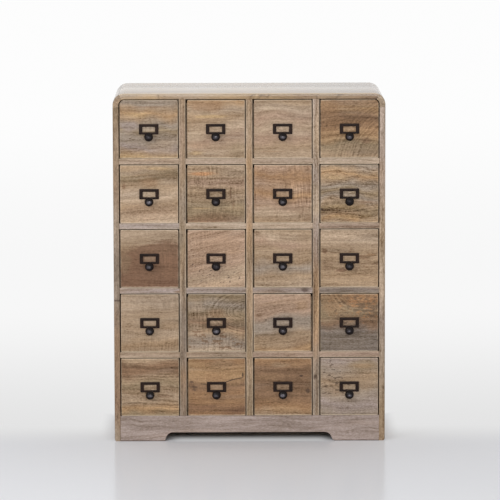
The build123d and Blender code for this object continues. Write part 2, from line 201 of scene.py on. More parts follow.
def wood(
    name, centre, half, bands, turn=ALONG_X, seed=0.0, lean=0.0, streaks=1.0, wave=0.003, veins=0.3,
    lines=0.2, lengths=None, butted=False, figure=None, patches=(), mottles=(), saw=0.0, pits=0.3,
    crack=None, rim=None, stave=None, tone=1.0, gloss=0.0, grime=False, grit=0.55, arris_highlight=0.0, shown=True,
):
    """Oiled hardwood. The stains in bands lie across the grain, and those in lengths follow along it."""
    material, start = finish(name)
    here = start.node("TexCoord", output="Object")
    board = here.node("Mapping", {"Location": centre, "Rotation": turn}, vector_type="TEXTURE")
    run = board.node("SeparateXYZ")
    rise = run.output(2)
    sawn_at = (0.73 * seed, 0.31 * seed, 0.57 * seed)
    log = board.node("Mapping", {"Location": sawn_at, "Rotation": (0, math.radians(lean), 0)})
    along = log.node("SeparateXYZ")
    into = along.output(1)
    bend = ripple(log, (7, 9, 16)) * (8 * wave) + ripple(log, (28, 30, 60)) * (1.5 * wave)
    across = along.output(2) + bend
    if lengths:
        reach, length_stains = lengths
        share = run / (2 * reach) + 0.5
    if butted:
        along = along + (share * len(length_stains.split())).math("FLOOR") * 1.9
    tint = 0.0
    if stave:
        count = across / stave
        pick = start.node("TexWhiteNoise", {"W": count.math("FLOOR")}, noise_dimensions="1D")
        joint = (count.math("PINGPONG", 0.5) * stave).ramp(0.0007, 0.0002)
        along = along + pick * 3
        tint = (pick - 0.5) * 0.3 - joint * 0.3

    fibre = along.node("CombineXYZ", {1: into, 2: across})
    broad = ripple(fibre, (5, 30, 42))
    fine = ripple(fibre, (7, 90, 165), 3.0, 0.6)
    fleck = ripple(fibre, (130, 220, 300))
    hair = ripple(fibre, (110, 300, 620))
    speck = ripple(log, (250, 250, 310), 1.0)
    crease = abs(ripple(fibre, (6, 60, 75), 1.0)).ramp(0.05, 0.0)
    light = broad + fine * 1.3 + hair + (fleck * 1.05 + speck * 1.3) * grit - crease * lines
    if figure:
        deep = (along - sawn_at[0] - figure["x"]) * figure["dive"]
        high = across - sawn_at[2] - figure["z"]
        ring = (deep * deep + high * high) ** 0.5
        years = {"W": ring / figure["step"] + fine * 0.8, "Scale": 1}
        growth = start.node("TexNoise", years, noise_dimensions="1D")
        far = ring.ramp(figure["reach"], figure["reach"] * 0.5)
        light = light + (growth - 0.5) * far * figure["strength"]
    light = light * streaks + tint

    drift = ripple(log, (9, 9, 9)) * 0.45
    colour = stained((across - sawn_at[2]) / (2 * half) + 0.5 + drift, bands)
    if lengths:
        lengthwise = stained(share if butted else share + drift * 0.5, length_stains, butted)
        colour = start.node("Mix", {0: 0.65, 6: colour, 7: lengthwise}, 2, data_type="RGBA")
    vein = ripple(fibre, (4, 24, 30))
    colour = blend(vein.ramp(0.02, 0.2) * veins, colour, STAIN["honey"])
    colour = blend(vein.ramp(-0.02, -0.2) * veins, colour, STAIN["ash"])
    if patches:
        blot = ripple(log, (30, 30, 60)) * 1.3 + light * 0.4
    for x, z, wide, high, stain, strength, *edge in patches:
        soft = edge[0] if edge else 0.4
        spread = oval(run, rise, x, z, wide, high) + blot * min(1, 2 * soft)
        colour = blend(spread.ramp(0.75 + soft, 0.75 - soft) * strength, colour, STAIN[stain])
    if mottles:
        dapple = ripple(log, (70, 90, 140)) * 7
    for order, (x, z, wide, high, stain, strength, sparse) in enumerate(mottles):
        spread = oval(run, rise, x, z, wide, high) * 0.6 + dapple * (1 - 2 * (order % 2))
        colour = blend(spread.ramp(0.25 - sparse, -0.15 - sparse) * strength, colour, STAIN[stain])
    pore = ripple(fibre, (75, 420, 520), 1.0).ramp(0.1, 0.24)
    light = light - pore * pits
    if saw:
        bow = start.node("CombineXYZ", {0: run + rise * rise * 0.8, 1: into, 2: rise})
        teeth = ripple(bow, (230, 2, 28), 1.5) * 1.8 * ripple(log, (14, 14, 14)).ramp(-0.1, 0.12)
        light = light + teeth * saw
    gains = [light * (depth * tone) + tone for depth in (1, 1.1, 1.25)]
    gain = start.node("CombineXYZ", dict(enumerate(gains)))
    colour = colour.node("VectorMath", {1: gain}, operation="MULTIPLY")
    if crack:
        (x, z), (far_x, far_z) = crack
        length = math.hypot(far_x - x, far_z - z)
        step_x, step_z = (far_x - x) / length, (far_z - z) / length
        down = (run - x) * step_x + (rise - z) * step_z
        off = abs((rise - z) * step_x - (run - x) * step_z + ripple(log, (60, 60, 60)) * 0.006)
        ends = down.ramp(-0.002, 0.001) * down.ramp(length + 0.002, length - 0.004)
        colour = blend(off.ramp(0.0018, 0.0007) * ends * 0.95, colour, STAIN["bark"])
    # Painted highlight: a pale line along the face's edges, where the eased arrises catch the light.
    if rim:
        gap = (rim[0] - abs(run)).math("MINIMUM", rim[1] - abs(rise))
        edge_highlight_band = (gap + ripple(log, (90, 90, 90)) * 0.004).ramp(0.003, 0.001)
        colour = blend(edge_highlight_band * rim[2], colour, STAIN["painted_highlight"])
    if arris_highlight or grime:
        aside = here.node("SeparateXYZ")
        behind = aside.output(1) - front_y
    # Painted highlight: the case's rounded outer front edge near the top is made pale, where the round
    # catches the light from above.
    if arris_highlight:
        beside = (abs(aside) - (case_half - corner_radius)).math("MAXIMUM", 0)
        above = (aside.output(2) - (case_top - corner_radius)).math("MAXIMUM", 0)
        under = corner_radius - (beside * beside + above * above) ** 0.5
        arris_highlight_band = under.ramp(0.0034, 0.0021) * behind.ramp(0.009, 0.006)
        colour = blend(arris_highlight_band * arris_highlight, colour, STAIN["painted_highlight"])
    # Painted shade: a dark band on the faces just behind the front, where the gaps between parts lie in
    # shade.
    if grime:
        gap_shade_band = behind.ramp(0.0009, 0.003) * behind.ramp(0.016, 0.009)
        colour = blend(gap_shade_band * 0.92, colour, STAIN["soot"])

    sockets = {"Specular IOR Level": 0.3, "Roughness": 0.5}
    if gloss:
        sockets.update({"Coat Weight": gloss, "Coat Roughness": 0.14})
    if shown:
        sockets["Roughness"] = 0.5 - fine * 0.35 + pore * 0.15
        height = fine * 0.5 + hair * 0.5 - pore * 0.8
        bump = {"Height": height, "Distance": 0.0004, "Strength": 0.03 if gloss > 0.5 else 0.5}
        sockets["Normal"] = start.node("Bump", bump)
    colour.node("BsdfPrincipled", sockets).node("OutputMaterial")
    return material


def geometry_tree(name, sizes):
    """An empty geometry tree with an input for each of these sizes, and a signal for each input."""
    kinds = {float: "Float", int: "Int", tuple: "Vector", bpy.types.Object: "Object"}
    tree = bpy.data.node_groups.new(name, "GeometryNodeTree")
    tree.interface.new_socket("Geometry", in_out="OUTPUT", socket_type="NodeSocketGeometry")
    for label, size in sizes.items():
        kind = kinds.get(type(size), "Material")
        tree.interface.new_socket(label, in_out="INPUT", socket_type=f"NodeSocket{kind}")
    group = tree.nodes.new("NodeGroupInput")
    return tree, {label: Signal(tree, group.outputs[label]) for label in sizes}


def held(holder):
    """The shape of the object that an input holds."""
    return holder.node("ObjectInfo", output="Geometry")


def close_tree(shape, material):
    """End a geometry tree in real meshes with their material."""
    real = shape.node("RealizeInstances")
    real.node("SetMaterial", {"Material": material}).node("NodeGroupOutput")


def show(name, mesh):
    """A new object at the origin that holds this mesh."""
    piece = bpy.data.objects.new(name, mesh)
    bpy.context.collection.objects.link(piece)
    return piece


def close_mesh(shell, name, material=None):
    """Turn faces outwards, shade round stretches smooth, and give the mesh its material."""
    bmesh.ops.recalc_face_normals(shell, faces=shell.faces)
    for face in shell.faces:
        face.smooth = True
    for edge in shell.edges:
        edge.smooth = edge.calc_face_angle(0) < sharp_turn
    mesh = bpy.data.meshes.new(name)
    shell.to_mesh(mesh)
    shell.free()
    if material:
        mesh.materials.append(material)
    return mesh


def grow(tree, name, sizes):
    """Run a geometry tree once and keep its result as a plain mesh."""
    piece = show(name, bpy.data.meshes.new(name))
    modifier = piece.modifiers.new("grow", "NODES")
    modifier.node_group = tree
    for item in tree.interface.items_tree:
        if item.in_out == "INPUT":
            modifier[item.identifier] = sizes[item.name]
    ready = piece.evaluated_get(bpy.context.evaluated_depsgraph_get())
    mesh = bpy.data.meshes.new_from_object(ready)
    piece.modifiers.remove(modifier)
    shell = bmesh.new()
    shell.from_mesh(mesh)
    bmesh.ops.remove_doubles(shell, verts=shell.verts, dist=weld)
    piece.data = close_mesh(shell, name, sizes["Material"])
    return piece


def line_mesh(name, points, closed=False):
    """A chain of edges for a geometry tree to follow."""
    count = len(points)
    edges = [(index, (index + 1) % count) for index in range(count if closed else count - 1)]
    mesh = bpy.data.meshes.new(name)
    mesh.from_pydata(points, edges, [])
    return show(name, mesh)


def rounded(corner, before, after, radius, steps=4):
    """The points of a rounded corner between two straight edges at a right angle."""
    corner = Vector(corner)
    back = (Vector(before) - corner).normalized()
    ahead = (Vector(after) - corner).normalized()
    middle = corner + (back + ahead) * radius
    turns = [quarter_turn * step / steps for step in range(steps + 1)]
    return [middle - ahead * radius * math.cos(turn) - back * radius * math.sin(turn) for turn in turns]


def section_points():
    """The board's section: front arrises eased, and the rabbet cut from its inner back edge."""
    depth = back_y - front_y
    ledge = depth - back_board
    inner_front, outer_front, outer_back = (0, -case_board), (0, 0), (depth, 0)
    points = rounded(inner_front, (depth, -case_board), outer_front, arris_radius)
    points += rounded(outer_front, inner_front, outer_back, outer_round, 6)
    points += rounded(outer_back, outer_front, (depth, -back_rabbet), arris_radius / 2)
    points += [(depth, -back_rabbet), (ledge, -back_rabbet), (ledge, -case_board)]
    return [(point[0], point[1], 0) for point in points]


def round_foot(piece):
    """Round the outer edge of a side board's foot: cut the board at some levels and draw these in."""
    shell = bmesh.new()
    shell.from_mesh(piece.data)
    for step in range(1, foot_steps + 1):
        level = (0, 0, joint_gap + foot_round * (1 - math.cos(quarter_turn * step / foot_steps)))
        parts = [*shell.verts, *shell.edges, *shell.faces]
        bmesh.ops.bisect_plane(shell, geom=parts, plane_co=level, plane_no=(0, 0, 1))
    for vert in shell.verts:
        below = foot_round - (vert.co.z - joint_gap)
        if below > 0:
            reach = case_half - foot_round + math.sqrt(max(0, foot_round**2 - below**2))
            vert.co.x = max(-reach, min(reach, vert.co.x))
    piece.data = close_mesh(shell, piece.name, piece.data.materials[0])


case_corners = [(-case_half, 0), (-case_half, case_top), (case_half, case_top), (case_half, 0)]
case_line = line_mesh("case_line", [(x, front_y, z) for x, z in case_corners])
board_section = line_mesh("board_section", section_points(), closed=True)
bent_sizes = {
    "Outline": case_line, "Section": board_section, "Corner Radius": corner_radius,
    "Start": 0.0, "End": 0.0, "Material": None,
}
bent_tree, bent = geometry_tree("bent case board", bent_sizes)
outline = held(bent["Outline"]).node("MeshToCurve")
bend = {"Count": 24, "Radius": bent["Corner Radius"]}
outline = outline.node("FilletCurve", bend, mode="POLY")
outline = outline.node("TrimCurve", {4: bent["Start"], 5: bent["End"]}, mode="LENGTH")
outline = outline.node("SetCurveNormal", {"Normal": (0, 1, 0)}, mode="FREE")
section = held(bent["Section"]).node("MeshToCurve")
swept = outline.node("CurveToMesh", {1: section, "Fill Caps": True})
close_tree(swept, bent["Material"])

arc_run = corner_radius * quarter_turn
straight_top = 2 * (case_half - corner_radius)
case_run = 2 * (case_top - corner_radius) + 2 * arc_run + straight_top
corner_end = side_top + corner_tail + corner_radius * mitre_turn
mid_y = (front_y + back_y) / 2
mid_z = side_top / 2
board_half = (back_y - front_y) / 2
corner_reach = 0.2
left_stains = "ash rust umber umber slate slate ash umber tan olive"
right_stains = "beige olive ash mauve cream cream pearl pearl pearl"
top_stains = "cream straw cream straw straw tan olive umber"
left_knots = [(0.389 - mid_z, board_half, 0.003, 0.014, "bark", 0.8)]
side_look = dict(turn=STANDING, gloss=0.25, streaks=0.95, grit=0.4)
corner_look = dict(turn=ALONG_Y, gloss=0.9, streaks=0.95, grit=0.4)
# Each board's end on the bent line, the middle of its grain across and up the case, and its look
case_boards = {
    "left_side_panel": (
        side_top, -case_half, mid_z,
        dict(side_look, lengths=(mid_z, left_stains), tone=0.88, patches=left_knots),
    ),
    "left_corner_block": (
        corner_end, -case_half, case_top, dict(corner_look, lengths=(corner_reach, "tan olive")),
    ),
    # The top's rounded front edge gets a painted highlight.
    "top_panel": (
        case_run - corner_end, 0, case_top,
        dict(turn=LYING, gloss=0.9, streaks=0.4, grit=0.1, arris_highlight=0.8, lengths=(case_half, top_stains)),
    ),
    "right_corner_block": (
        case_run - side_top, case_half, case_top, dict(corner_look, lengths=(corner_reach, "olive tan")),
    ),
    "right_side_panel": (
        case_run, case_half, mid_z, dict(side_look, lengths=(mid_z, right_stains), tone=1.13),
    ),
}
start = 0
for number, (node, (end, x, z, look)) in enumerate(case_boards.items()):
    look = dict(look, seed=1.0 + number, stave=0.09)
    grain = wood(f"{node}_wood", (x, mid_y, z), board_half, "tan beige olive tan", **look)
    length = {"Start": start + joint_gap, "End": end - joint_gap, "Material": grain}
    piece = grow(bent_tree, f"{node}_board", bent_sizes | length)
    if "side" in node:
        round_foot(piece)
    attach(piece, "case")
    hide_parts(node)
    start = end
bpy.data.objects.remove(case_line)
bpy.data.objects.remove(board_section)


# Dividers and shelves. Upright boards run from the bottom board to the top, and short shelf boards
# are housed between them. Both are planed hardwood with hand-eased front edges.
columns = 4
rows = 5
inner_half = case_half - case_board
inner_top = case_top - case_board
inner_back_y = back_y - back_board
base_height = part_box("front_apron")[1][2]
divider_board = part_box("divider_1")[1][0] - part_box("divider_1")[0][0]
shelf_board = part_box("shelf_row_1")[1][2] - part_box("shelf_row_1")[0][2]
bay_width = (2 * inner_half - (columns - 1) * divider_board) / columns
bay_height = (inner_top - base_height - (rows - 1) * shelf_board) / rows
upright_half = (inner_top - base_height) / 2
support = 0.0005
board_ease = 0.0009
corner_ease = 1.7
ease_swing = 0.55
ease_swells = 45
band_half = 0.012


def bay_x(column):
    """Middle of a column of bays, counted from the left."""
    return -inner_half + bay_width / 2 + column * (bay_width + divider_board)


def bay_floor(row):
    """Floor of a row of bays, counted from the top."""
    return inner_top - bay_height - row * (bay_height + shelf_board)


def divider_x(index):
    """Middle of an upright, counted from the left."""
    return bay_x(index) + (bay_width + divider_board) / 2


def spaced(start, end, count):
    """Evenly spaced points from start up to, but without, end."""
    return [Vector(start).lerp(Vector(end), part / count) for part in range(count)]


def straight(start, end, step=0.008):
    """Points about a step apart from one end of a straight edge up to, but without, the other."""
    return spaced(start, end, max(1, round((Vector(end) - Vector(start)).length / step)))


def corner_arcs(low, high, radii, steps=(4, 4, 4, 4)):
    """The four rounded corners of a rectangle, anticlockwise from its lower left one."""
    corners = [low, (high[0], low[1]), high, (low[0], high[1])]
    around = zip(corners, corners[-1:] + corners, corners[1:] + corners[:1], radii, steps)
    return [rounded(*corner) for corner in around]


def panel_outline(low, high, radii, step=0.006):
    """A rectangle from the front, its corners rounded, with points all along its edges."""
    arcs = corner_arcs(low, high, radii, [4 if radius < 0.005 else 10 for radius in radii])
    points = []
    for arc, following in zip(arcs, arcs[1:] + arcs[:1]):
        points += arc + straight(arc[-1], following[0], step)[1:]
    return points


def drawn_in(points, amounts):
    """An outline moved inwards, each point by its own amount."""
    moved = []
    for index, point in enumerate(points):
        along = (points[(index + 1) % len(points)] - points[index - 1]).normalized()
        moved.append(point + Vector((-along.y, along.x)) * amounts[index])
    return moved


def hand_eased(points, radius, seed):
    """An easing radius for each point, as uneven as sandpaper leaves it."""
    spots = [Vector((point.x * ease_swells, seed, point.y * ease_swells)) for point in points]
    return [radius * (1 + ease_swing * noise.noise(spot)) for spot in spots]


def eased_rings(points, eases, face_y, end_y, steps=4):
    """Rings from the flat of a front face round its eased edge and along its straight sides to end_y."""
    rings = [[(p.x, face_y, p.y) for p in drawn_in(points, [ease + support for ease in eases])]]
    for index in range(steps + 1):
        turn = quarter_turn * index / steps
        inset = drawn_in(points, [ease * (1 - math.sin(turn)) for ease in eases])
        rings.append([(p.x, face_y + ease * (1 - math.cos(turn)), p.y) for p, ease in zip(inset, eases)])
    rings.append([(p.x, face_y + ease + support, p.y) for p, ease in zip(points, eases)])
    rings.append([(p.x, end_y, p.y) for p in points])
    return rings


def add_rings(shell, rings, closed=False):
    """Skin a row of rings, with flat ends or closed into a tube."""
    loops = [[shell.verts.new(point) for point in ring] for ring in rings]
    pairs = list(zip(loops, loops[1:]))
    if closed:
        pairs.append((loops[-1], loops[0]))
    else:
        shell.faces.new(loops[0])
        shell.faces.new(loops[-1])
    for near, far in pairs:
        for index in range(len(near)):
            following = (index + 1) % len(near)
            shell.faces.new((near[index], near[following], far[following], far[index]))


def skinned(name, bodies, material=None):
    """An object with a skin over each row of rings."""
    shell = bmesh.new()
    for rings in bodies:
        add_rings(shell, rings)
    return show(name, close_mesh(shell, name, material))


def board_rings(low, high, seed):
    """The rings of a board with its front edge eased by hand and its back edge square."""
    points = panel_outline((low[0], low[2]), (high[0], high[2]), [board_ease * corner_ease] * 4)
    return eased_rings(points, hand_eased(points, board_ease, seed), low[1], high[1])


# Stains from the foot of each upright to its head, its tone and its knots
uprights = [
    ("slate umber slate slate tan olive ash tan rose tan", 0.92, [(0.11, -0.006, 0.006, 0.004, "bark", 0.6)]),
    ("olive tan olive tan tan honey rose honey beige tan", 1.04, []),
    ("ash slate amber honey umber mauve cream pearl cream pearl", 1.04,
     [(-0.329, 0.004, 0.01, 0.007, "bark", 0.8)]),
]
for index, (stains, tone, knots) in enumerate(uprights):
    name = f"divider_{index + 1}"
    middle = divider_x(index)
    half = divider_board / 2
    low = (middle - half, front_y, base_height + joint_gap)
    high = (middle + half, inner_back_y, inner_top - joint_gap)
    centre = (middle, mid_y, base_height + upright_half)
    look = dict(lengths=(upright_half, stains), tone=tone, patches=knots, streaks=1.15, grit=0.5)
    # Paint a highlight along the front edges and shade in the gaps just behind the front face.
    look.update(turn=ALONG_Z, seed=11.0 + index, rim=(1, half, 0.25), grime=True)
    grain = wood(f"{name}_wood", centre, band_half, "ash tan ash", **look)
    piece = skinned(f"{name}_upright", [board_rings(low, high, index)], grain)
    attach(piece, "case")
    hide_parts(name)

# Stains of the four boards in each row, from the left, and their knots
shelves = [
    ("beige beige beige cream", []),
    ("pearl cream cream rose", []),
    ("mauve mauve mauve slate",
     [(0.152, 0.001, 0.014, 0.009, "bark", 0.75), (-0.19, -0.003, 0.02, 0.005, "umber", 0.7)]),
    ("tan tan rose rose", []),
]
for row, (stains, knots) in enumerate(shelves):
    name = f"shelf_row_{row + 1}"
    level = bay_floor(row)
    reach = bay_width / 2 - joint_gap
    half = shelf_board / 2
    boards = []
    for column in range(columns):
        low = (bay_x(column) - reach, front_y, level - shelf_board)
        high = (bay_x(column) + reach, inner_back_y, level)
        boards.append(board_rings(low, high, 10 * row + column))
    look = dict(lengths=(inner_half + divider_board / 2, stains), butted=True, patches=knots)
    # Paint a highlight along the front edges and shade in the gaps just behind the front face.
    look.update(seed=21.0 + row, streaks=0.95, grit=0.35, pits=0.15, rim=(1, half, 0.25), grime=True)
    grain = wood(f"{name}_wood", (0, mid_y, level - half), band_half, "ash mauve ash", **look)
    piece = skinned(f"{name}_boards", boards, grain)
    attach(piece, "case")
    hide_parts(name)


# Base. The front apron is one board with a shallow arch sawn out by eye between two feet: each end is
# a cove over a flared toe. Behind it lie the bottom board, a plain rear rail and four glue blocks.
apron_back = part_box("front_apron")[1][1]
foot_width = 0.122
arch_height = 0.024
cove_radius = 0.020
toe_rise = 0.010
left_toe_run = 0.0025
right_toe_run = 0.008
apron_ease = 0.001
hidden_ease = 0.0004
base_spread = 0.2


def arc_points(centre, radius, start, end, steps):
    """Points on an arc between two angles in degrees."""
    turns = [math.radians(start + (end - start) * step / steps) for step in range(steps + 1)]
    return [Vector(centre) + Vector((math.cos(turn), math.sin(turn))) * radius for turn in turns]


def tangent_arc(start, heading, end, steps):
    """Points on the arc that leaves start along heading and ends at end, without start itself."""
    chord = end - start
    square = Vector((-heading.y, heading.x))
    middle = start + square * (chord.length_squared / (2 * chord.dot(square)))
    sweep = 2 * math.atan2(chord.dot(square), chord.dot(heading))
    turns = [Matrix.Rotation(sweep * step / steps, 2) for step in range(1, steps + 1)]
    return [middle + turn @ (start - middle) for turn in turns]


def arch_end(foot_x, toe_run):
    """A right end of the arch, from its flat top round the cove and down the toe to the floor."""
    cove_turn = math.acos(1 - (arch_height - toe_rise) / cove_radius)
    middle = (foot_x - toe_run - cove_radius * math.sin(cove_turn), arch_height - cove_radius)
    cove = arc_points(middle, cove_radius, 90, 90 - math.degrees(cove_turn), 8)
    heading = Vector((math.cos(cove_turn), -math.sin(cove_turn)))
    return cove + tangent_arc(cove[-1], heading, Vector((foot_x, 0)), 5)


def apron_outline():
    """The apron from the front: feet, ends, top edge, and the arch with its two ends."""
    foot_x = inner_half - foot_width
    right_side = arch_end(foot_x, right_toe_run)
    left_side = [Vector((-point.x, point.y)) for point in reversed(arch_end(foot_x, left_toe_run))]
    corners = [(foot_x, 0), (inner_half, 0), (inner_half, base_height)]
    corners += [(-x, z) for x, z in reversed(corners)]
    edges = [point for start, end in zip(corners, corners[1:]) for point in straight(start, end)]
    return left_side + straight(left_side[-1], right_side[0])[1:] + right_side + edges[1:]


def dress(node, material):
    """Give a hidden board that keeps its own mesh its wood."""
    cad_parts[node].data.materials.clear()
    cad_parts[node].data.materials.append(material)


points = apron_outline()
eases = hand_eased(points, apron_ease, 77)
for index, point in enumerate(points):
    if not apron_ease < point.y < base_height - apron_ease:
        eases[index] = hidden_ease
base_half = base_height / 2
look = dict(seed=31.0, streaks=0.85, grit=0.35, pits=0.2, veins=0.1, lines=0.15, tone=1.08)
# Painted shade: a dark line along the bottoms of the feet, where they meet the floor.
look["patches"] = [(0, -base_half, 9, 0.003, "soot", 0.75, 0.2)]
grain = wood("apron_wood", (0, front_y, base_half), base_half, "mauve mauve mauve", **look)
apron = skinned("arched_apron", [eased_rings(points, eases, front_y, apron_back)], grain)
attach(apron, "case")
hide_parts("front_apron")
look = dict(seed=33.0, stave=0.11, shown=False)
base_wood = wood("base_wood", (0, mid_y, base_half), base_spread, "tan olive tan", **look)
for node in ("bottom_board", "rear_rail", "base_glue_blocks"):
    dress(node, base_wood)


# Back. A thin panel with upright grain lies in the rabbet, held by countersunk cross-head screws
# of zinc-plated steel that run into the case boards, the dividers and the bottom board.
screw_head = 0.0031
screw_shank = 0.0016
screw_length = 0.018
screw_tip = 0.003
recess_arm = 0.0019
recess_half = 0.0005
recess_depth = 0.0011
ledge_x = inner_half + back_rabbet / 2
ledge_z = inner_top + back_rabbet / 2
bottom_mid = (base_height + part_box("bottom_board")[0][2]) / 2
back_spread = 0.35


def circle_ring(radius, y, count):
    """A ring round the Y axis, whose first point lies one step below the X axis."""
    turns = [math.tau * (index - 1) / count for index in range(count)]
    return [(radius * math.cos(turn), y, radius * math.sin(turn)) for turn in turns]


def cross_ring(arm, half, y):
    """The outline of a cross recess, six points to each arm."""
    mid = (arm + half) / 2
    quarter = [(arm, -half), (arm, 0), (arm, half), (mid, half), (half, half), (half, mid)]
    turns = [Matrix.Rotation(quarter_turn * number, 2) for number in range(4)]
    points = [turn @ Vector(point) for turn in turns for point in quarter]
    return [(point.x, y, point.y) for point in points]


def plated_steel():
    """Zinc-plated steel with a dull, slightly yellow skin."""
    material, start = finish("plated_steel")
    cloud = ripple(start.node("TexCoord", output="Object"), (300, 300, 300))
    colour = blend(cloud.ramp(-0.2, 0.2), rgb(168, 160, 142), rgb(196, 192, 182))
    surface = colour.node("BsdfPrincipled", {"Metallic": 1.0, "Roughness": 0.38})
    surface.node("OutputMaterial")
    return material


back_middle = (0, back_y, (base_height + case_top) / 2)
look = dict(turn=ALONG_Z, seed=41.0, stave=0.118, shown=False)
dress("back_panel", wood("back_wood", back_middle, back_spread, "beige cream beige straw beige", **look))

screw_profile = [
    (screw_head * 0.94, 0), (screw_head, -0.0001), (screw_shank, screw_shank - screw_head),
    (screw_shank, screw_tip - screw_length), (screw_shank * 0.1, -screw_length),
]
rings = [cross_ring(recess_arm / 2, recess_half / 2, -recess_depth), cross_ring(recess_arm, recess_half, 0)]
rings += [circle_ring(radius, y, 24) for radius, y in screw_profile]
one_screw = skinned("one_screw", [rings])
bay_middles = [bay_floor(row) + bay_height / 2 for row in range(rows)]
screw_spots = [(bay_x(column), ledge_z) for column in range(columns)]
screw_spots += [(side * ledge_x, middle) for side in (-1, 1) for middle in bay_middles]
screw_spots += [(divider_x(index), middle) for index in range(columns - 1) for middle in bay_middles[::2]]
screw_spots += [(bay_x(column), bottom_mid) for column in range(columns)]
screw_points = line_mesh("screw_points", [(x, back_y, z) for x, z in screw_spots])

screw_sizes = {"Spots": screw_points, "Screw": one_screw, "Seed": 7, "Material": plated_steel()}
screw_tree, driven = geometry_tree("driven screws", screw_sizes)
spots = held(driven["Spots"]).node("MeshToPoints")
turning = {0: (0, 0, 0), 1: (0, math.tau, 0), "Seed": driven["Seed"]}
turned = spots.node("FunctionNodeRandomValue", turning, data_type="FLOAT_VECTOR")
screwed = {"Instance": held(driven["Screw"]), "Rotation": turned}
close_tree(spots.node("InstanceOnPoints", screwed), driven["Material"])
screws = grow(screw_tree, "panel_screws", screw_sizes)
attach(screws, "case")
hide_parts("back_panel_screws")
bpy.data.objects.remove(one_screw)
bpy.data.objects.remove(screw_points)


# Drawer fronts. Each is sawn from a different old board, so no two match in colour or grain. The
# edges are eased by hand, and the back is rabbeted at both ends to cover the drawer's sides.
front_board = 0.018
front_side_gap = 0.002
front_top_gap = 0.002
front_bottom_gap = 0.001
front_drop = 0.0005
front_rabbet = 0.008
front_ease = 0.0014
lower_ease = 0.35
lower_ease_rise = 0.004
front_step = 0.004
front_corner = corner_radius - case_board - 2 * front_side_gap
tongue_play = 0.0003
drawer_side_board = 0.010
front_half = bay_width / 2 - front_side_gap
front_half_high = (bay_height - front_top_gap - front_bottom_gap) / 2
front_rise = front_bottom_gap + front_half_high
rabbet_y = front_y + front_board - front_rabbet
tongue_y = front_y + front_board
cells = [(row, column) for row in range(rows) for column in range(columns)]
bays = [(row, column, f"row_{row + 1}_column_{column + 1}") for row, column in cells]

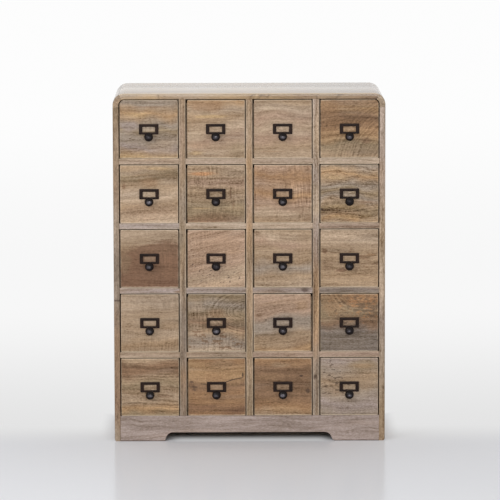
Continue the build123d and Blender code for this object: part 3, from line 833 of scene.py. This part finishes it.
# Stains run from the bottom edge up. Patches and mottles are (x, z, half width, half height, stain,
# strength) as shares of the front's half size, then a patch's softness or how sparse the mottles are.
front_boards = [
    dict(bands="straw tan mauve ash ash olive ash tan honey tan ash ash", veins=0.15, saw=0.25, lines=0.2,
        tone=0.95, grit=0.4,
        patches=[(-0.65, 0.1, 0.4, 0.22, "mauve", 0.7, 0.3), (-0.35, 0.48, 0.6, 0.12, "straw", 0.5),
            (0.4, -0.6, 0.7, 0.25, "beige", 0.5), (-0.2, 0.76, 0.9, 0.04, "umber", 0.5, 0.3)]),
    dict(bands="tan beige rose beige tan beige honey", streaks=0.75, saw=0.2,
        figure=dict(x=0.15, z=-1.3, dive=0.45, step=0.006, strength=0.5, reach=0.07),
        patches=[(-0.3, 0.82, 0.75, 0.25, "amber", 0.6), (-0.2, 0.43, 0.65, 0.06, "straw", 0.7),
            (-0.35, 0.54, 0.2, 0.08, "olive", 0.5), (-0.66, -0.83, 0.3, 0.1, "straw", 0.6),
            (-0.7, -0.25, 0.35, 0.3, "cream", 0.5), (0.75, -0.75, 0.35, 0.35, "olive", 0.5)]),
    dict(bands="beige tan rose beige rose beige tan", streaks=0.7, saw=0.1, lines=0.08, wave=0.005,
        figure=dict(x=0.5, z=2.2, dive=0.4, step=0.006, strength=0.4, reach=0.2),
        patches=[(-0.5, 0.73, 0.3, 0.08, "cream", 0.6), (-0.6, -0.27, 0.4, 0.03, "umber", 0.5, 0.3),
            (-0.3, -0.78, 0.5, 0.03, "amber", 0.4)]),
    dict(bands="tan olive honey amber umber honey amber", saw=0.15, tone=0.9,
        figure=dict(x=2.6, z=-1.9, dive=1, step=0.006, strength=0.9, reach=0.4),
        patches=[(-0.67, 0.64, 0.4, 0.35, "amber", 0.7), (0.54, -0.41, 0.2, 0.14, "umber", 0.8, 0.3),
            (-0.05, -0.7, 0.35, 0.12, "olive", 0.6), (0.3, 0.1, 0.8, 0.1, "umber", 0.4)]),
    dict(bands="beige beige tan beige tan olive tan", streaks=0.91, lean=4, saw=0.15,
        patches=[(-0.85, 0.26, 0.08, 0.12, "umber", 0.8, 0.3), (0, 0.66, 0.8, 0.04, "umber", 0.4),
            (0.05, 0.42, 0.4, 0.18, "amber", 0.5), (0.3, 0.88, 0.6, 0.06, "straw", 0.5),
            (0, -0.6, 1.1, 0.4, "rose", 0.35)]),
    dict(bands="umber olive olive tan tan rose tan tan", streaks=1.16, saw=0.65, tone=0.95,
        patches=[(-0.45, 0.7, 0.6, 0.1, "copper", 0.8, 0.3), (0.5, 0.05, 0.04, 0.3, "umber", 0.9, 0.3),
            (0.6, -0.35, 0.05, 0.3, "umber", 0.6, 0.3), (-0.5, -0.5, 0.4, 0.03, "straw", 0.5),
            (0, -0.85, 1.1, 0.25, "umber", 0.35)]),
    dict(bands="tan beige rose amber rose amber rose", streaks=0.77, saw=1.1,
        patches=[(-0.6, -0.75, 0.5, 0.25, "beige", 0.4), (0.15, 0.4, 0.25, 0.12, "umber", 0.4),
            (0.8, -0.6, 0.4, 0.6, "umber", 0.3)],
        mottles=[(0.2, 0.75, 1.0, 0.2, "umber", 0.6, 0.35), (0.8, 0, 0.3, 0.9, "umber", 0.4, 0.35)]),
    dict(bands="tan honey tan olive tan ash olive ash tan honey tan ash", streaks=1.26, wave=0.005, veins=0.2,
        saw=0.1, lines=0.3,
        patches=[(0.6, 0.25, 0.5, 0.2, "ash", 0.6), (-0.5, 0.55, 0.5, 0.12, "straw", 0.4),
            (-0.2, -0.45, 0.8, 0.1, "straw", 0.4), (0.6, -0.3, 0.4, 0.06, "umber", 0.6, 0.3),
            (0.1, -0.8, 0.9, 0.1, "straw", 0.35)]),
    dict(bands="rust rust umber umber tan beige beige", streaks=0.69, veins=0.1, lines=0.08, saw=0.45,
        tone=0.92,
        patches=[(0.6, -0.9, 2.75, 2.0, "rust", 0.85, 0.06), (-0.85, -0.15, 0.25, 0.45, "olive", 0.35),
            (0.0, 0.55, 0.5, 0.04, "cream", 0.4)]),
    dict(bands="rose beige rose rose rose rose", streaks=1.04, lean=12, saw=0.35, lines=0.08, tone=0.99,
        patches=[(0.6, -0.7, 0.6, 0.4, "cream", 0.3), (0, 0.6, 1.2, 0.6, "amber", 0.25)],
        mottles=[(0.15, -0.55, 1.2, 0.5, "bark", 0.8, 0.7), (0.75, 0.15, 0.3, 0.4, "umber", 0.5, 0.4)]),
    dict(bands="beige tan ash tan tan rose beige tan", streaks=0.86, veins=0.12, saw=0.4, tone=0.97,
        patches=[(-0.84, 0.86, 0.14, 0.1, "umber", 0.6, 0.3), (-0.35, 0.67, 0.35, 0.2, "cream", 0.4),
            (0.8, 0.5, 0.4, 0.6, "tan", 0.5)]),
    dict(bands="tan tan tan tan beige beige", streaks=0.96, saw=0.2,
        patches=[(-0.84, 0.24, 0.1, 0.12, "umber", 0.9, 0.3), (-0.75, -0.25, 0.3, 0.25, "umber", 0.3),
            (-0.25, -0.42, 0.2, 0.08, "rust", 0.8, 0.3), (0.5, 0.02, 0.25, 0.1, "umber", 0.6, 0.3),
            (0.75, 0.12, 0.2, 0.05, "amber", 0.6)],
        mottles=[(0.5, -0.2, 0.6, 0.5, "umber", 0.6, 0.45)]),
    dict(bands="tan tan beige tan beige beige", streaks=0.72, saw=0.45, lines=0.06, tone=0.9),
    dict(bands="beige ash tan umber tan olive ash olive", streaks=1.08, saw=0.65, tone=0.84,
        figure=dict(x=1.04, z=0.4, dive=0.6, step=0.004, strength=1.4, reach=0.085),
        patches=[(-0.75, 0.5, 0.35, 0.3, "beige", 0.5), (0, 0.35, 0.4, 0.2, "amber", 0.45),
            (-0.75, -0.3, 0.35, 0.4, "beige", 0.6), (0.75, 0.1, 0.35, 0.3, "olive", 0.5),
            (0, -0.95, 1.2, 0.1, "cream", 0.5), (1, 0.38, 0.08, 0.1, "bark", 0.7, 0.3)],
        mottles=[(0.1, -0.55, 1.0, 0.35, "umber", 0.8, 0.3)]),
    dict(bands="honey tan tan ash ash rose rose rose", streaks=0.98, lean=6, saw=0.1, trims=(0, 0.003),
        tone=0.9,
        patches=[(-0.82, 0.25, 0.14, 0.08, "umber", 0.7, 0.3), (-0.58, 0.1, 0.06, 0.03, "bark", 0.9, 0.25),
            (0.7, 0.6, 0.3, 0.2, "honey", 0.4), (0.6, -0.75, 0.5, 0.3, "umber", 0.3)]),
    dict(bands="slate slate slate umber olive olive amber", streaks=1.08, tone=0.91, veins=0.15, saw=0.2,
        figure=dict(x=0.5, z=1.3, dive=0.8, step=0.005, strength=0.9, reach=0.12),
        patches=[(-0.5, 0.6, 0.5, 0.4, "amber", 0.5), (0.4, 0.75, 0.7, 0.3, "amber", 0.6),
            (0.8, 0.1, 0.35, 0.6, "umber", 0.6), (-0.1, -0.6, 1.1, 0.4, "ash", 0.3)],
        mottles=[(0.55, 0.55, 0.8, 0.65, "bark", 0.45, 0.05), (0.5, 0.68, 0.55, 0.36, "copper", 0.55, 0.0)]),
    dict(bands="olive honey tan beige tan olive tan umber umber tan", streaks=0.96, saw=0.45, tone=0.95,
        figure=dict(x=0.2, z=-2.6, dive=0.25, step=0.006, strength=0.7, reach=0.5),
        patches=[(0.5, -0.3, 0.3, 0.08, "umber", 0.5), (-0.1, 0.6, 0.9, 0.4, "umber", 0.35)]),
    dict(bands="amber rust amber amber umber honey honey amber", streaks=0.84, saw=0.35, tone=0.98,
        crack=((0.33, 0.19), (0.92, 0.33)),
        patches=[(0.9, 0.42, 0.04, 0.12, "bark", 0.9, 0.25), (-0.25, -0.68, 0.35, 0.06, "rust", 0.7, 0.3),
            (0.0, 0.3, 0.5, 0.25, "amber", 0.6), (0.2, 0.8, 0.6, 0.2, "tan", 0.4)],
        mottles=[(-0.7, 0.02, 0.4, 0.2, "bark", 0.7, 0.35)]),
    dict(bands="tan amber umber umber umber umber amber", streaks=0.96, saw=0.15, tone=0.97,
        patches=[(-0.1, 0.75, 0.35, 0.12, "tan", 0.6), (0.63, 0.38, 0.09, 0.05, "bark", 0.95, 0.25),
            (0.86, -0.16, 0.1, 0.1, "bark", 0.8, 0.3), (0, -0.75, 0.6, 0.2, "honey", 0.4)]),
    dict(bands="ash mauve ash tan ash mauve", streaks=0.96, veins=0.15, saw=0.15, tone=1.03,
        patches=[(0.5, 0.74, 0.7, 0.25, "olive", 0.7, 0.3), (0.45, 0.72, 0.5, 0.1, "honey", 0.4),
            (0.6, 0.1, 0.4, 0.3, "tan", 0.5)],
        mottles=[(-0.6, 0.25, 0.6, 0.6, "bark", 0.7, 0.4)]),
]
# What was planed off the left and the right edge of each front to make it fit, by column
column_trims = [(0.0012, 0.0009), (0.0027, 0.0007), (0.0025, 0.0007), (0.0014, 0.001)]
# Painted light: the wood in the label's window is made paler, lifting the shade that the frame casts into it
label_window_light = (0, -0.01, 0.33, 0.16, "cream", 0.25)
# Which corner of the top row's end fronts follows the case's round corner
round_corners = {(0, 0): 3, (0, columns - 1): 2}


def front_rings(x, z, trims, radii, seed):
    """The rings of one drawer front, from its face back to the end of its tongue."""
    low = (x - front_half + trims[0], z - front_half_high - front_drop)
    high = (x + front_half - trims[1], z + front_half_high)
    points = panel_outline(low, high, radii, front_step)
    lift = [lower_ease + (1 - lower_ease) * min(1, (p.y - low[1]) / lower_ease_rise) for p in points]
    eases = [ease * share for ease, share in zip(hand_eased(points, front_ease, seed), lift)]
    reach = front_half - drawer_side_board
    climb = front_half_high - tongue_play
    tongue = [(max(x - reach, min(x + reach, p.x)), max(z - climb, min(z + climb, p.y))) for p in points]
    rings = eased_rings(points, eases, front_y, rabbet_y)
    return rings + [[(p[0], y, p[1]) for p in tongue] for y in (rabbet_y, tongue_y)]


def front_sized(marks):
    """Patches or mottles turned from shares of the front's half size into metres."""
    wide, high = front_half, front_half_high
    return [(x * wide, z * high, w * wide, h * high, *rest) for x, z, w, h, *rest in marks]


for number, ((row, column, place), look) in enumerate(zip(bays, front_boards)):
    x, z = bay_x(column), bay_floor(row) + front_rise
    radii = [front_ease * corner_ease] * 4
    if (row, column) in round_corners:
        radii[round_corners[row, column]] = front_corner
    # Paint a highlight along the front edges and shade in the gaps just behind the front face.
    look = dict(lines=0.1, rim=(front_half, front_half_high, 0.45), grime=True, seed=51.0 + number) | look
    look["patches"] = front_sized([*look.get("patches", ()), label_window_light])
    look["mottles"] = front_sized(look.get("mottles", ()))
    if "figure" in look:
        figure = look["figure"]
        look["figure"] = dict(figure, x=figure["x"] * front_half, z=figure["z"] * front_half_high)
    if "crack" in look:
        look["crack"] = [(end_x * front_half, end_z * front_half_high) for end_x, end_z in look["crack"]]
    trims = look.pop("trims", column_trims[column])
    grain = wood(f"front_{place}_wood", (x, front_y, z), front_half_high, **look)
    piece = skinned(f"front_{place}", [front_rings(x, z, trims, radii, number)], grain)
    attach(piece, f"drawer_{place}")
    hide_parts(f"drawer_{place}")


# Drawer boxes. Two sides, a back and a thin bottom of plain planed wood, glued behind each front.
# The bottom sits between the sides, and all the top edges are rounded over so that hands pass easily.
running_gap = 0.0003
drawer_headroom = 0.0107
drawer_back_board = 0.010
drawer_bottom_board = 0.005
drawer_bottom_rise = 0.008
stop_gap = 0.0003
box_round = 0.0022
box_spread = 0.08
box_sizes = {
    "Place": (0, 0, 0), "Outer Half": front_half, "Side Thickness": drawer_side_board, "Front": rabbet_y,
    "End": inner_back_y - stop_gap, "Low": running_gap, "High": bay_height - drawer_headroom,
    "Back Thickness": drawer_back_board, "Bottom Rise": drawer_bottom_rise,
    "Bottom Thickness": drawer_bottom_board, "Tongue Back": tongue_y, "Ease": box_round, "Material": None,
}
box_tree, box = geometry_tree("drawer box", box_sizes)


def at(x, y, z):
    """A point worked out from the box's sizes."""
    return x.node("ShaderNodeCombineXYZ", {1: y, 2: z})


def planed(start, end, width, thickness, normal, ease):
    """A board between two points: its width lies along normal, and all four long edges are eased."""
    line = start.node("CurvePrimitiveLine", {"End": end})
    line = line.node("SetCurveNormal", {"Normal": normal}, mode="FREE")
    flat = width.node("CurvePrimitiveQuadrilateral", {"Height": thickness})
    flat = flat.node("FilletCurve", {"Count": 4, "Radius": ease}, mode="POLY")
    return line.node("CurveToMesh", {1: flat, "Fill Caps": True})


upwards, backwards = (0, 0, 1), (0, 1, 0)
end, thickness, ease = box["End"], box["Side Thickness"], box["Ease"]
side_level = (box["Low"] + box["High"]) * 0.5
side_mid = box["Outer Half"] - thickness * 0.5
boards = []
for hand in (-1, 1):
    side_x = side_mid * hand
    side_ends = at(side_x, box["Front"], side_level), at(side_x, end, side_level)
    boards.append(planed(*side_ends, box["High"] - box["Low"], thickness, upwards, ease))
inside = box["Outer Half"] - thickness
floor_low = box["Low"] + box["Bottom Rise"]
floor_top = floor_low + box["Bottom Thickness"]
back_mid = end - box["Back Thickness"] * 0.5
back_level = (floor_top + box["High"]) * 0.5
back_ends = at(inside * -1, back_mid, back_level), at(inside, back_mid, back_level)
boards.append(planed(*back_ends, box["High"] - floor_top, box["Back Thickness"], upwards, ease))
floor_y = (box["Tongue Back"] + end) * 0.5
floor_level = floor_low + box["Bottom Thickness"] * 0.5
floor_ends = at(inside * -1, floor_y, floor_level), at(inside, floor_y, floor_level)
floor_deep = end - box["Tongue Back"]
boards.append(planed(*floor_ends, floor_deep, box["Bottom Thickness"], backwards, ease * 0.1))
joined = ease.node("JoinGeometry", {0: boards})
close_tree(joined.node("Transform", {"Translation": box["Place"]}), box["Material"])

for number, (row, column, place) in enumerate(bays):
    x, floor = bay_x(column), bay_floor(row)
    centre = (x, mid_y, floor + bay_height / 2)
    look = dict(turn=ALONG_Y, seed=81.0 + number, shown=False)
    grain = wood(f"box_{place}_wood", centre, box_spread, "tan beige olive tan", **look)
    piece = grow(box_tree, f"box_{place}", box_sizes | {"Place": (x, 0, floor), "Material": grain})
    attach(piece, f"drawer_{place}")


# Pulls. Each is a cast label frame with a tab below its window, pinned to the front at its corners.
# A turned knob stands on the tab, drawn up by a bolt from inside. All of it is dark-patinated metal.
plate_half = 0.0265
plate_half_high = 0.014
plate_thickness = 0.0032
plate_corner = 0.0016
plate_round = 0.0007
window_half = 0.01725
window_high = 0.0148
window_sill = 0.0058
window_bevel = 0.0006
card_slot_depth = 0.0012
card_slot_margin = 0.0026
tab_half = 0.009
edge_counts = (6, 14, 6)
corner_count = 4
shoulder_count = 6
tab_side_count = 3
tab_steps = 18
knob_drop = 0.020
knob_radius = 0.0121
knob_half_depth = 0.009
knob_standoff = 0.014
knob_neck = 0.0045
knob_neck_steps = 8
knob_ball_steps = 23
knob_foot = 0.007
knob_foot_high = 0.0014
bolt_radius = 0.002
bolt_head_radius = 0.004
bolt_head_high = 0.0024
pin_head_radius = 0.002
pin_head_high = 0.0009
pin_inset_x = 0.0044
pin_inset_z = 0.0042


def plate_line():
    """The frame's outline, anticlockwise from its lower left corner, with the tab's round end."""
    low = -plate_half_high
    arcs = corner_arcs((-plate_half, low), (plate_half, plate_half_high), [plate_corner] * 4)
    tab = arc_points((0, -knob_drop), tab_half, 180, 360, tab_steps)
    points = spaced(arcs[0][-1], (-tab_half, low), shoulder_count)
    points += spaced((-tab_half, low), tab[0], tab_side_count) + tab[:-1]
    points += spaced(tab[-1], (tab_half, low), tab_side_count)
    points += spaced((tab_half, low), arcs[1][0], shoulder_count)
    for arc, following, count in zip(arcs[1:], arcs[2:] + arcs[:1], edge_counts):
        points += arc[:corner_count] + spaced(arc[-1], following[0], count)
    return points + arcs[0][:corner_count]


def window_line(grown):
    """The window's outline with as many points as the frame's, and each near its own."""
    right, low = window_half + grown, -plate_half_high + window_sill - grown
    high = low + window_high + 2 * grown
    corners = [(right, low), (right, high), (-right, high), (-right, low)]
    points = spaced((-right, low), (-tab_half, low), shoulder_count)
    points += spaced((-tab_half, low), (tab_half, low), tab_steps + 2 * tab_side_count)
    points += spaced((tab_half, low), (right, low), shoulder_count)
    for corner, following, count in zip(corners, corners[1:], edge_counts):
        points += [Vector(corner)] * corner_count + spaced(corner, following, count)
    return points + [Vector(corners[-1])] * corner_count


def turned_rings(profile, count, drop):
    """The rings of a profile of radii and depths, turned about an axis along Y."""
    rings = [circle_ring(radius, y, count) for radius, y in profile]
    return [[(x, y, z - drop) for x, y, z in ring] for ring in rings]


def knob_profile():
    """The knob's radii and depths: a short flared neck on a flat foot, and a flattened ball."""
    neck_turn = math.asin(knob_neck / knob_radius)
    neck_y = -knob_standoff + knob_half_depth * math.cos(neck_turn)
    profile = [(knob_foot * 0.3, 0), (knob_foot, 0), (knob_foot, -knob_foot_high * 0.7)]
    for step in range(1, knob_neck_steps + 1):
        part = step / knob_neck_steps
        flare = knob_neck + (knob_foot * 0.96 - knob_neck) * (1 - part) ** 2.4
        profile.append((flare, -knob_foot_high + (neck_y + knob_foot_high) * part))
    for step in range(1, knob_ball_steps):
        turn = neck_turn + (math.pi - neck_turn) * step / knob_ball_steps
        profile.append((knob_radius * math.sin(turn), -knob_standoff + knob_half_depth * math.cos(turn)))
    profile.append((0.0002, -knob_standoff - knob_half_depth))
    return profile


def pull_shell():
    """One pull's frame, knob and bolt about the middle of its frame, with the wood's face at y = 0."""
    shell = bmesh.new()
    outer = plate_line()
    face = -plate_thickness
    soft_round = plate_round * 0.3
    layers = [
        (outer, 0), (outer, face + plate_round),
        (drawn_in(outer, [soft_round] * len(outer)), face + soft_round),
        (drawn_in(outer, [plate_round] * len(outer)), face), (window_line(window_bevel), face),
        (window_line(window_bevel / 3), face + window_bevel / 3),
        (window_line(0), face + window_bevel), (window_line(0), -card_slot_depth),
        (window_line(card_slot_margin), -card_slot_depth), (window_line(card_slot_margin), 0),
    ]
    add_rings(shell, [[(p.x, y, p.y) for p in points] for points, y in layers], closed=True)
    bmesh.ops.remove_doubles(shell, verts=shell.verts, dist=weld)
    knob = [(radius, face + y) for radius, y in knob_profile()]
    add_rings(shell, turned_rings(knob, 48, knob_drop))
    rim_y, head_y = front_board + bolt_head_high * 0.7, front_board + bolt_head_high
    bolt = [(bolt_radius, front_board), (bolt_head_radius, front_board), (bolt_head_radius, rim_y),
            (bolt_head_radius * 0.8, head_y), (bolt_head_radius * 0.2, head_y)]
    add_rings(shell, turned_rings(bolt, 24, knob_drop))
    return shell


def dark_metal():
    """Blackened metal: brown-black frames and smoother black knobs, with a painted highlight on each knob's
    front, a pale bluish sheen that is also made partly metallic.
    """
    material, start = finish("dark_metal")
    here = start.node("TexCoord", output="Object")
    spot = here.node("SeparateXYZ")
    half_x, half_z = (bay_width + divider_board) / 2, (bay_height + shelf_board) / 2
    aside = (spot - bay_x(0)).math("WRAP", half_x, -half_x)
    climb = (spot.output(2) - (bay_floor(0) + front_rise - knob_drop)).math("WRAP", half_z, -half_z)
    out = front_y - spot.output(1)
    knob = out.ramp(0.0045, 0.0075)
    cloud = ripple(here, (90, 90, 90), 3.0)
    grit = ripple(here, (900, 900, 900))
    # Painted highlight: a pale bluish sheen on the front of each knob, its strength varying from pull to
    # pull.
    sheen_outline = oval(aside, climb, -0.0005, -0.001, 0.0072, 0.0042) + cloud * 1.5
    painted_highlight = sheen_outline.ramp(1.25, 0.2) * out.ramp(0.016, 0.021)
    colour = blend(cloud.ramp(-0.18, 0.2), rgb(29, 17, 12), rgb(43, 27, 20))
    colour = blend(knob, colour, rgb(21, 14, 14))
    sheen_share = ripple(here, (6, 6, 6), 0.0) * 2.2 + 0.6
    colour = blend(painted_highlight * sheen_share, colour, rgb(112, 108, 114))
    rough = 0.42 - knob * 0.18 + cloud * 0.25 + grit * 0.1
    sockets = {"Metallic": painted_highlight * 0.7, "Roughness": rough, "Specular IOR Level": 0.14}
    bump = {"Height": grit + cloud * 0.5, "Distance": 0.0002, "Strength": 0.2}
    sockets["Normal"] = start.node("Bump", bump)
    colour.node("BsdfPrincipled", sockets).node("OutputMaterial")
    return material


pin_turns = [quarter_turn * step / 5 for step in range(6)]
pin_dome = [(max(0.02, math.cos(turn)), math.sin(turn)) for turn in pin_turns]
pin_profile = [(pin_head_radius * wide, -pin_head_high * high) for wide, high in [(0.5, 0), *pin_dome]]
pin_head = skinned("pin_head", [turned_rings(pin_profile, 20, 0)])
pull_body = show("pull_body", close_mesh(pull_shell(), "pull_body"))
pull_sizes = {
    "Body": pull_body, "Pin": pin_head, "Place": (0, 0, 0), "Pins Wide": 2 * (plate_half - pin_inset_x),
    "Pins High": 2 * (plate_half_high - pin_inset_z), "Face": -plate_thickness, "Material": dark_metal(),
}
pull_tree, pull = geometry_tree("label pull", pull_sizes)
grid = {"Size Y": pull["Pins High"], "Vertices X": 2, "Vertices Y": 2}
corners = pull["Pins Wide"].node("MeshGrid", grid)
lift = pull["Face"].node("ShaderNodeCombineXYZ", {0: 0, 1: pull["Face"]})
upright = {"Translation": lift, "Rotation": (quarter_turn, 0, 0)}
corners = corners.node("Transform", upright).node("MeshToPoints")
pins = corners.node("InstanceOnPoints", {"Instance": held(pull["Pin"])})
whole = pins.node("JoinGeometry", {0: [held(pull["Body"]), pins]})
close_tree(whole.node("Transform", {"Translation": pull["Place"]}), pull["Material"])
for row, column, place in bays:
    spot = (bay_x(column), front_y, bay_floor(row) + front_rise)
    piece = grow(pull_tree, f"label_pull_{place}", pull_sizes | {"Place": spot})
    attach(piece, f"drawer_{place}")
    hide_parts(f"pull_{place}")
bpy.data.objects.remove(pin_head)
bpy.data.objects.remove(pull_body)


# Studio. A pale, slightly glossy floor that fades into white behind the chest, a white surround, soft
# boxes in front and above, and the camera where the photograph was taken from.
floor_reach = 10.0
background = 0.98
room_light = 0.57
white = (1, 1, 1, 1)


def seen_directly(start):
    """1 for rays from the camera and for mirrored or transmitted ones, 0 for light that falls on things."""
    ray = start.node("LightPath")
    seen = ray.output("Is Camera Ray").math("MAXIMUM", ray.output("Is Glossy Ray"))
    return seen.math("MAXIMUM", ray.output("Is Transmission Ray"))


def paper_floor():
    """Pale floor that keeps shadows, mirrors the chest a little, glows with painted light in a strip under
    the arch, and fades to the white background.
    """
    material, start = finish("paper_floor")
    spot = start.node("TexCoord", output="Object").node("SeparateXYZ")
    aside, depth = abs(spot), spot.output(1)
    matt = start.node("BsdfDiffuse", {"Color": (0.9, 0.912, 0.95, 1)})
    polish = start.node("BsdfGlossy", {"Color": white, "Roughness": 0.16})
    paper = start.node("MixShader", {0: 0.14, 1: matt, 2: polish})
    glow = depth.ramp(-0.6, 2.6) * 0.178 + depth.ramp(3, floor_reach) * 0.05 + 0.752
    shine = start.node("Emission", {"Color": white, "Strength": glow})
    far_off = oval(aside, depth, 0, 0, 1, 1).ramp(0.9, 2.2)
    open_floor = aside.ramp(0.36, 0.42).math("MAXIMUM", depth.ramp(0.2, 0.3)) * depth.ramp(-0.26, 0.1)
    # Painted light: the floor just under the arch, away from the feet, glows for the camera as if lit.
    painted_sill_light = depth.ramp(-0.075, -0.15) * depth.ramp(-0.178, -0.166) * aside.ramp(0.235, 0.185) * 0.42
    faded = open_floor.math("MAXIMUM", painted_sill_light).math("MAXIMUM", far_off) * seen_directly(start)
    mixed = start.node("MixShader", {0: faded, 1: paper, 2: shine})
    mixed.node("OutputMaterial")
    return material


floor_mesh = bpy.data.meshes.new("studio_floor")
floor_corners = [(x * floor_reach, y * floor_reach, 0) for x, y in ((-1, -1), (1, -1), (1, 1), (-1, 1))]
floor_mesh.from_pydata(floor_corners, [], [(0, 1, 2, 3)])
floor_mesh.materials.append(paper_floor())
show("studio_floor", floor_mesh)

world = bpy.data.worlds.new("white_room")
bpy.context.scene.world = world
world.use_nodes = True
world.node_tree.nodes.clear()
room = Signal(world.node_tree)
strength = seen_directly(room) * (background - room_light) + room_light
sky = room.node("Background", {"Color": white, "Strength": strength})
sky.node("OutputWorld")


def soft_box(name, place, target, wide, high, power):
    """A rectangular studio light aimed at a point, out of the camera's sight."""
    light = bpy.data.lights.new(name, "AREA")
    light.shape = "RECTANGLE"
    light.size = wide
    light.size_y = high
    light.energy = power
    lamp = bpy.data.objects.new(name, light)
    lamp.location = place
    lamp.rotation_euler = (Vector(target) - Vector(place)).to_track_quat("-Z", "Y").to_euler()
    lamp.visible_camera = False
    bpy.context.collection.objects.link(lamp)


soft_box("left_soft_box", (-2.2, -3.0, 1.9), (0, 0, 0.5), 1.8, 1.8, 32)
soft_box("front_soft_box", (0.3, -4.2, 1.3), (0, 0, 0.3), 2.0, 1.0, 29)
soft_box("top_soft_box", (0.2, 0.9, 3.2), (0, 0, 0.9), 1.6, 1.2, 2)

camera_data = bpy.data.cameras.new("photo_camera")
camera_data.lens = 262.03
camera_data.sensor_width = 36.0
camera = bpy.data.objects.new("photo_camera", camera_data)
camera.location = (-0.0659, -10.0, 1.7608)
yaw, pitch, roll = math.radians(-0.3938), math.radians(-7.1509), math.radians(0.1329)
aim = Matrix.Rotation(yaw, 3, "Z") @ Matrix.Rotation(quarter_turn + pitch, 3, "X")
camera.rotation_euler = (aim @ Matrix.Rotation(-roll, 3, "Z")).to_euler()
bpy.context.collection.objects.link(camera)
bpy.context.scene.camera = camera
bpy.context.scene.view_settings.view_transform = "Standard"
